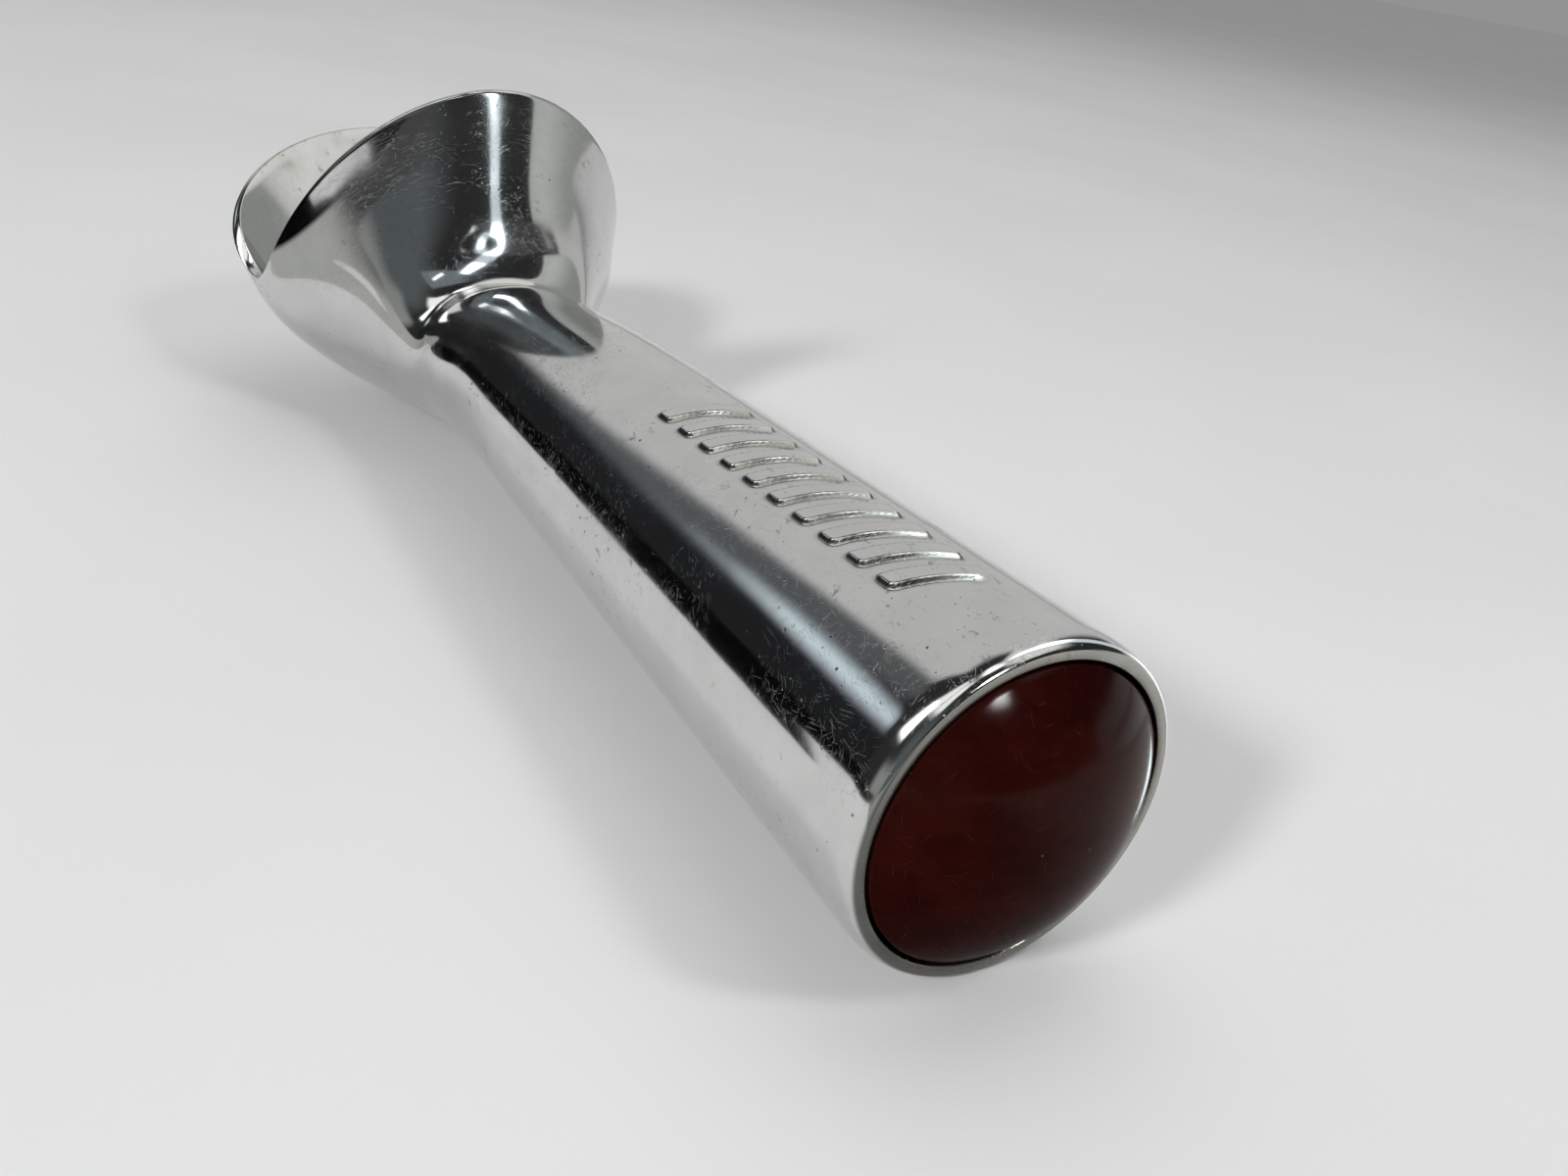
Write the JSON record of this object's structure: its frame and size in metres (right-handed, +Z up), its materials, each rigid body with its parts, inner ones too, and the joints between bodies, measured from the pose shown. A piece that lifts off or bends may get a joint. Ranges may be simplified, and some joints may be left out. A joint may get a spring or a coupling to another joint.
{
  "type": "ice cream scoop",
  "caption": "Hand scoop cast in one piece, with a saddle-lipped bowl on a hollow tapered handle that is closed by a domed plug.",
  "frame": {"origin": "centre of the base of the bounding box, on the table the scoop lies on", "axes": "+X along the handle from the plug to the bowl, +Z up out of the bowl's mouth, the plane y = 0 is the plane of symmetry of the bowl and handle"},
  "size_m": [0.1796, 0.0574, 0.0506],
  "materials": {
    "polished_aluminium": "polished casting, worn, with fine scratches, pits and faint stains",
    "dark_red_plastic": "glossy moulded plastic, very dark red, lightly scuffed",
    "black_rubber": "matt moulded ring, hidden behind the plug's rim",
    "handle_liquid": "clear liquid, hidden inside the handle"
  },
  "bodies": {
    "root": {"body_casting": "polished_aluminium", "end_plug": "dark_red_plastic", "plug_seal_ring": "black_rubber", "heat_transfer_liquid": "handle_liquid"}
  },
  "joints": []
}
